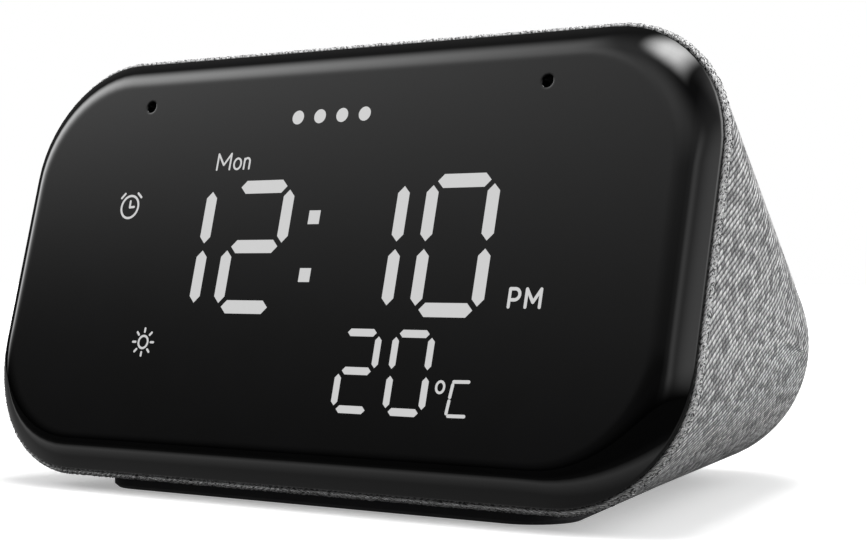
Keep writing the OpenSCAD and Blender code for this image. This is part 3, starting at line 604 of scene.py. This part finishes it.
def degreeSign():
    # the degree ring and the scale letter made of four bars
    lines = ([(27.4, -16.6), (29.7, -16.55)], [(27.3, -17.0), (27.12, -18.6)],
             [(27.08, -19.1), (26.92, -20.7)], [(27.25, -21.02), (29.7, -20.98)])
    return ringStrokes(25.41, -17.36, 0.62, 0.74, 0.34) + [stroke(p, 0.46) for p in lines]


def makeFigures():
    f = figures
    clock = [b for n, x in zip(f["time"], f["timeAt"])
             for b in digit(n, x, f["timeUp"], f["timePitch"], f["timeHalf"], f["timeBar"], f["timeFlat"],
                            f["timeUpright"])]
    square = np.array([[1, 1], [-1, 1], [-1, -1], [1, -1]]) * f["colonSide"] / 2
    clock += [square + (0, f["timeUp"] + drop) for drop in (-f["colonDrop"], f["colonDrop"])]
    warm = [b for n, x in zip(f["warm"], f["warmAt"])
            for b in digit(n, x, f["warmUp"], f["warmPitch"], f["warmHalf"], f["warmBar"], f["warmFlat"],
                           f["warmUpright"])]
    dots = [arc(x, f["dotUp"], f["dotRadius"], f["dotRadius"], 0, 350, 36) for x in f["dotAt"]]
    groups = dict(lit_time=clock, lit_temperature=warm, lit_status_dots=dots, lit_weekday=weekday(),
                  lit_day_half=dayHalf(), lit_alarm_sign=alarmSign(), lit_sun_sign=sunSign(),
                  lit_degree_sign=degreeSign())
    for name, outlines in groups.items():
        place(tiles(name, outlines, onFace, -f["sunk"], f["proud"], lit), "housing", "light_guide")


makeFigures()
print("figures made")


# ---- cloth sleeve ----

sleeve = dict(
    lip=((0.62, 0.66), (0.3, 0.58), (0.1, 0.34), (0.0, 0.0)),   # inset, and height in front of the rim
    drawnRows=46, heelRows=28, footSlack=0.2, keyLong=11.8, keyWide=5.8,
    thick=0.9, yarnEnds=2600, yarnThick=0.11,
)
foot = dict(frontWide=79.6, rearWide=51, front=-36, rear=30, corner=7, plugTop=6.4)
keys = dict(long=11, wide=5, pitch=18, back=12, proud=0.6, flangeTop=-3.2, flangeThick=0.9, stem=1,
            flangeOut=1.0, edge=0.5, dish=0.14)
ballSide = body["heelWide"] / 2 - body["heelCorner"]
ballOut = body["heelCorner"] - body["heelRadius"]
ballMiddle = np.array([0, body["heelBack"] - body["heelCorner"], body["heelHigh"]])
faceBack = np.array([0, cosLean, -sinLean])


def heelPoint(normal, side):
    # where the heel, a fat wheel at each side, touches a plane with this normal
    level = normal * (1, 1, 0)
    level = level / np.maximum(np.linalg.norm(level, axis=-1, keepdims=True), 1e-9)
    point = ballMiddle + ballOut * level + body["heelRadius"] * normal
    return point + side[..., None] * np.array([ballSide, 0, 0])


def drawnOver(ring, inset):
    # angle at which a plane that touches the rim also touches the heel, found by halving: the normal
    # starts square to the rim and turns towards straight back until the heel reaches the plane
    outward = np.stack([np.cos(ring[0]), np.sin(ring[0]) * sinLean, np.sin(ring[0]) * cosLean], -1)
    u, v = ringAt(ring, body["rimWide"] / 2 - inset, body["rimHigh"] / 2 - inset, body["rimCorner"] - inset)
    rim = onFace(u, v, -body["rimDepth"])
    low, high = np.zeros(len(u)), np.full(len(u), math.pi / 2)
    for _ in range(40):
        angle = (low + high) / 2
        normal = np.cos(angle)[:, None] * outward + np.sin(angle)[:, None] * faceBack
        heel = (normal * heelPoint(normal, ring[1])).sum(-1)
        behind = (normal * rim).sum(-1) < heel
        high = np.where(behind, angle, high)
        low = np.where(behind, low, angle)
    return outward, rim, angle


def sleeveRows(ring):
    # points row by row: over the lip to the rim, straight to the heel, then round the heel until the
    # two sides meet at the back
    outward, rim, angle = drawnOver(ring, 0)
    rows = []
    for inset, front in sleeve["lip"][:-1]:
        rows.append(rim - inset * outward - front * faceBack)
    touch = heelPoint(np.cos(angle)[:, None] * outward + np.sin(angle)[:, None] * faceBack, ring[1])
    for part in np.linspace(0, 1, sleeve["drawnRows"]):
        rows.append(rim + part * (touch - rim))
    for part in np.linspace(0, 1, sleeve["heelRows"])[1:]:
        bent = angle + part * (math.pi / 2 - angle)
        rows.append(heelPoint(np.cos(bent)[:, None] * outward + np.sin(bent)[:, None] * faceBack, ring[1]))
    return np.stack(rows)


def cutter(name, outline, toPlace, low, high):
    return tiles(name, [outline], toPlace, low, high, twill)


def slotOutline(across, up, long, wide, count=20):
    # a slot with round ends
    half = (long - wide) / 2
    return np.concatenate([arc(across + half, up, wide / 2, wide / 2, -90, 90, count),
                           arc(across - half, up, wide / 2, wide / 2, 90, 270, count)])


def footOutline(grow):
    # a rounded trapezium, wider in front; each corner's arc spans between its two sides' normals
    radius = foot["corner"] + grow
    wide, narrow = foot["frontWide"] / 2 - foot["corner"], foot["rearWide"] / 2 - foot["corner"]
    front, rear = foot["front"] + foot["corner"], foot["rear"] - foot["corner"]
    tilt = math.degrees(math.atan2(wide - narrow, rear - front))
    spots = ((wide, front, -90, tilt), (narrow, rear, tilt, 90), (-narrow, rear, 90, 180 - tilt),
             (-wide, front, 180 - tilt, 270))
    return np.concatenate([arc(x, y, radius, radius, a, b, 14) for x, y, a, b in spots])


def cutOpenings(piece):
    # cuts the openings for the foot, the rear bay and the keys
    grow, bayHalf, bayUp = sleeve["footSlack"], body["bayWide"] / 2, body["bayHigh"] / 2
    corner = body["bayCorner"]
    bay = np.stack(ringAt(ringTurns(8, 4, 2), bayHalf, bayUp, corner), -1)[:-1]
    cutters = [cutter("cut_foot", footOutline(grow), onGround, -3, foot["plugTop"]),
               cutter("cut_bay", bay, onBay, -3, 12)]
    for i in range(4):
        opening = slotOutline((i - 1.5) * keys["pitch"], keys["back"], sleeve["keyLong"], sleeve["keyWide"])
        cutters.append(cutter(f"cut_key{i}", opening, onTop, -3, 5))
    for one in cutters:
        made = piece.modifiers.new("opening", "BOOLEAN")
        made.operation, made.solver, made.object = "DIFFERENCE", "EXACT", one
    applyAll(piece)
    for one in cutters:
        bpy.data.objects.remove(one)


def makeSleeve():
    ring = ringTurns(20, 60, 32)
    points = sleeveRows(ring)
    rows, cols = points.shape[:2]
    across = np.linalg.norm(np.diff(points, axis=1), axis=-1)
    across = np.concatenate([np.zeros((rows, 1)), np.cumsum(across, 1)], 1)
    across -= across[:, cols // 2][:, None]
    down = np.linalg.norm(np.diff(points, axis=0), axis=-1)
    down = np.concatenate([np.zeros((1, cols)), np.cumsum(down, 0)])
    piece = makeMesh("cloth_sleeve", points, gridFaces(rows, cols), twill, np.stack([across, down], -1))
    wall = piece.modifiers.new("thickness", "SOLIDIFY")
    wall.thickness, wall.offset, wall.use_even_offset = sleeve["thick"] * mm, -1, False
    cutOpenings(piece)
    place(piece, "housing", "sleeve_cloth", "fabric_sleeve")
    return piece


def makeYarnEnds():
    # short arched pieces of yarn along the cut edge: each a tube of five sides that bows outwards, laid
    # at a random slant, thinning to a point at its two ends
    count, steps, sides = sleeve["yarnEnds"], 5, 6
    ring = ringTurns(20, 60, 32)
    outward, rim, _ = drawnOver(ring, 0)
    edge = np.concatenate([[0], np.cumsum(np.linalg.norm(np.diff(rim, axis=0), axis=1))])
    spots = (np.arange(count) + rng.uniform(-0.4, 0.4, count)) * edge[-1] / count % edge[-1]
    base = np.stack([np.interp(spots, edge, rim[:, i]) for i in range(3)], -1)
    out = np.stack([np.interp(spots, edge, outward[:, i]) for i in range(3)], -1)
    out /= np.linalg.norm(out, axis=1)[:, None]
    along = np.cross(out, faceBack)
    slant = rng.uniform(-0.2, 1.3, count) + np.where(rng.random(count) < 0.25, 1.4, 0)
    reach = (np.cos(slant)[:, None] * along - np.sin(slant)[:, None] * faceBack)
    long = rng.uniform(0.45, 0.8, count)
    forward = rng.uniform(-0.35, 0.5, count)
    inward = 0.42 * np.clip(forward, 0, 1) + 0.05
    base = base - forward[:, None] * faceBack - inward[:, None] * out
    part = np.linspace(0, 1, steps)
    centre = (base[:, None] + reach[:, None] * (long[:, None, None] * (part[None, :, None] - 0.5))
              + out[:, None] * (0.05 * np.sin(math.pi * part))[None, :, None])
    turn = np.linspace(0, 2 * math.pi, sides)
    cross = np.cross(reach, out)
    thick = sleeve["yarnThick"] / 2 * rng.uniform(0.7, 1.15, count)
    radius = thick[:, None] * np.sin(math.pi * part)[None] ** 0.4
    rim3 = (np.cos(turn)[None, None, :, None] * out[:, None, None]
            + np.sin(turn)[None, None, :, None] * cross[:, None, None])
    points = centre[:, :, None] + radius[:, :, None, None] * rim3
    one = np.array(gridFaces(steps, sides))
    faces = (one[None] + (np.arange(count) * steps * sides)[:, None, None]).reshape(-1, 4).tolist()
    shade = np.where(rng.random(count) < 0.42, 0.0, rng.uniform(0.35, 0.8, count))
    uv = np.zeros((count, steps * sides, 2))
    uv[..., 0] = shade[:, None]
    piece = makeMesh("cloth_cut_edge", points, faces, yarnEnds, uv)
    return place(piece, "housing", "sleeve_cloth")


cloth = makeSleeve()
edgeYarns = makeYarnEnds()
print("sleeve made")


# ---- keys ----

def keyCap(name, index):
    # a slot-shaped cap in rings from its stem up: out to the flange, up the wall, over the rounded edge
    # and in to a shallow dish that closes on a line
    ring = ringTurns(12, 8, 2)
    k = keys
    lift = np.linspace(0, math.pi / 2, 6)
    flangeLow = k["flangeTop"] - k["flangeThick"]
    rows = [(-2.49, flangeLow - k["stem"]), (-1.5, flangeLow - k["stem"]),
            (-1.5, flangeLow), (k["flangeOut"], flangeLow),
            (k["flangeOut"], k["flangeTop"]), (0, k["flangeTop"])]
    rows += [(-k["edge"] * (1 - math.cos(a)), k["proud"] - k["edge"] * (1 - math.sin(a))) for a in lift]
    dishRun = k["wide"] / 2 - k["edge"] - 0.01
    rows += [(-k["edge"] - s * dishRun, k["proud"] - k["dish"] * math.sin(s * math.pi / 2))
             for s in (0.25, 0.5, 0.75, 1)]
    loops = []
    for grow, high in rows:
        x, y = ringAt(ring, k["long"] / 2 + grow, k["wide"] / 2 + grow, k["wide"] / 2 + grow)
        loops.append(onTop(x + (index - 1.5) * k["pitch"], y + k["back"], high))
    return makeMesh(name + "_cap", np.stack(loops), gridFaces(len(loops), ring.shape[1]), keyRubber)


def plusSign():
    return [stroke([(-0.95, 0), (0.95, 0)], 0.34), stroke([(0, -0.95), (0, -0.2)], 0.34),
            stroke([(0, 0.2), (0, 0.95)], 0.34)]


def minusSign():
    return [stroke([(-0.95, 0), (0.95, 0)], 0.34)]


def playSign():
    # a triangle pointing right, and two bars beside it
    return [np.array([[-1.6, -0.9], [0, 0], [-1.6, 0.9]]), stroke([(0.75, -0.75), (0.75, 0.75)], 0.36),
            stroke([(1.5, -0.75), (1.5, 0.75)], 0.36)]


def bellSign():
    shell = np.concatenate([arc(0, 0.1, 0.72, 0.85, 180, 0, 14), [[0.95, -0.65]], [[-0.95, -0.65]]])
    return [shell, arc(0, -0.85, 0.24, 0.2, 180, 360, 8)]


def makeKeys():
    signs = (("volume_down_key", minusSign()), ("volume_up_key", plusSign()), ("play_key", playSign()),
             ("alarm_key", bellSign()))
    for index, (name, outlines) in enumerate(signs):
        place(keyCap(name, index), name, "key_grey", name)
        middle = np.array([(index - 1.5) * keys["pitch"], keys["back"]])
        laid = [o * (1, -1) + middle for o in outlines]
        inked = tiles(name + "_sign", laid, onTop, keys["proud"] - 0.25, keys["proud"] - 0.08, keyInk)
        place(inked, name, "key_grey")


makeKeys()
print("keys made")


# ---- floor, light and camera ----

view = dict(place=(0.16861, -0.239515, 0.03237), target=(0.02177, -0.035625, 0.03101), lens=80.4, sensor=36)
studio = dict(floorSize=6, floorDrop=0.02, backdrop=1.0)   # the floor just misses the foot
# soft boxes: centre and half spans of the angle round X (up from the front) and of the direction's X,
# then the soft margin of each and the radiance
softBoxes = (
    (68, 22, 20, -0.9, 0.3, 0.25, 4.2),
    (64, 26, 24, -0.4, 0.4, 0.3, 0.42),
    (44, 8, 16, -0.1, 0.6, 0.3, 0.5),
    (92, 14, 12, 0.02, 0.16, 0.12, 11.0),
    (28, 22, 12, 0.66, 0.06, 0.06, 0.6),
    (60, 60, 20, 0.98, 0.16, 0.12, 0.6),
    (135, 35, 25, 0.7, 0.3, 0.25, 3.4),
)


def makeCamera():
    data = bpy.data.cameras.new("camera")
    data.lens, data.sensor_width, data.clip_start = view["lens"], view["sensor"], 0.01
    camera = bpy.data.objects.new("camera", data)
    bpy.context.scene.collection.objects.link(camera)
    camera.location = view["place"]
    aim = Vector(view["target"]) - Vector(view["place"])
    camera.rotation_euler = aim.to_track_quat("-Z", "Y").to_euler()
    bpy.context.scene.camera = camera


def makeFloor():
    # a white sheet that the object stands on, as the camera sees it
    side = studio["floorSize"] / 2 / mm
    corners = np.array([[-side, -side, 0], [side, -side, 0], [side, side, 0], [-side, side, 0]])
    corners = corners - [0, 0, studio["floorDrop"]]
    made, tree, shader = material("white paper floor, painted reflections", Roughness=1.0, Specular_IOR_Level=0.0,
                                  Emission_Color=hexColour("#FFFFFF"), Emission_Strength=0.35)
    paper = noiseOf(tree, 300)
    finish(tree, shader, ramp(tree, paper, (0.3, "#EFEFEF"), (0.7, "#F4F4F4")))
    # painted reflection: glossy rays see the sheet as glowing greys by depth, dark farther out with a pale
    # strip along the front; other rays see a dull grey
    depth = put(tree, "SeparateXYZ", {"Vector": put(tree, "TexCoord").outputs["Object"]}).outputs[1]
    away = put(tree, "MapRange", {"Value": depth, "From Min": -0.064, "From Max": -0.036}).outputs[0]
    reflectionShades = ramp(tree, away, (0.0, "#303030"), (0.3, "#484848"), (0.5, "#D8D8D8"), (0.72, "#858585"),
                  (1.0, "#747474"))
    # painted reflection: glowing greys that only glossy rays see
    paintedReflection = put(tree, "Emission", {"Color": reflectionShades})
    dull = put(tree, "BsdfDiffuse", {"Color": hexColour("#545454")})
    rays = put(tree, "LightPath").outputs
    mirrored = put(tree, "MixShader", {0: rays["Is Glossy Ray"], 1: dull.outputs[0], 2: paintedReflection.outputs[0]})
    seen = put(tree, "MixShader", {0: rays["Is Camera Ray"], 1: mirrored.outputs[0], 2: shader.outputs[0]})
    sheetOut = next(n for n in tree.nodes if n.type == "OUTPUT_MATERIAL")
    tree.links.new(seen.outputs[0], sheetOut.inputs["Surface"])
    floor = makeMesh("floor", corners, [[0, 1, 2, 3]], made)


def makeSky():
    # the studio as light all round: each soft box is a smooth window in two angles, on a dim room
    world = bpy.data.worlds.new("studio")
    bpy.context.scene.world = world
    world.use_nodes = True
    tree = world.node_tree
    tree.nodes.clear()
    way = put(tree, "SeparateXYZ", {"Vector": put(tree, "TexCoord").outputs["Generated"]}).outputs
    ahead = put(tree, "Math", {0: way[1], 1: -1.0}, operation="MULTIPLY").outputs[0]
    turn = put(tree, "Math", {0: way[2], 1: ahead}, operation="ARCTAN2").outputs[0]
    upFromFront = put(tree, "Math", {0: turn}, operation="DEGREES").outputs[0]

    def window(value, middle, half, soft):
        # 1 inside the half span and 0 outside it, with a smooth margin
        off = put(tree, "Math", {0: value, 1: middle}, operation="SUBTRACT").outputs[0]
        away = put(tree, "Math", {0: off}, operation="ABSOLUTE").outputs[0]
        span = {"Value": away, "From Min": half + soft, "From Max": max(half - soft, 0.0)}
        return put(tree, "MapRange", span, interpolation_type="SMOOTHSTEP").outputs[0]

    level = put(tree, "MapRange", {"Value": way[0], "From Min": 0.4, "From Max": 1.0, "To Min": 0.06,
                                   "To Max": 0.6}).outputs[0]
    for angle, halfAngle, softAngle, across, halfAcross, softAcross, radiance in softBoxes:
        upward = window(upFromFront, angle, halfAngle, softAngle)
        sideways = window(way[0], across, halfAcross, softAcross)
        box = put(tree, "Math", {0: upward, 1: sideways}, operation="MULTIPLY").outputs[0]
        level = put(tree, "Math", {0: box, 1: radiance, 2: level}, operation="MULTIPLY_ADD").outputs[0]
    low = put(tree, "MapRange", {"Value": way[2], "From Min": -0.02, "From Max": 0.26},
              interpolation_type="SMOOTHSTEP").outputs[0]
    level = put(tree, "Math", {0: level, 1: low}, operation="MULTIPLY").outputs[0]
    lights = put(tree, "Background", {"Strength": level})
    paper = put(tree, "Background", {"Strength": studio["backdrop"]})
    seen = put(tree, "LightPath").outputs["Is Camera Ray"]
    mixed = put(tree, "MixShader", {0: seen, 1: lights.outputs[0], 2: paper.outputs[0]})
    put(tree, "OutputWorld", {"Surface": mixed.outputs[0]})
    for one in (lights, paper):
        one.inputs["Color"].default_value = (1, 1, 1, 1)


makeCamera()
makeFloor()
makeSky()
bpy.context.scene.view_settings.view_transform = "Standard"
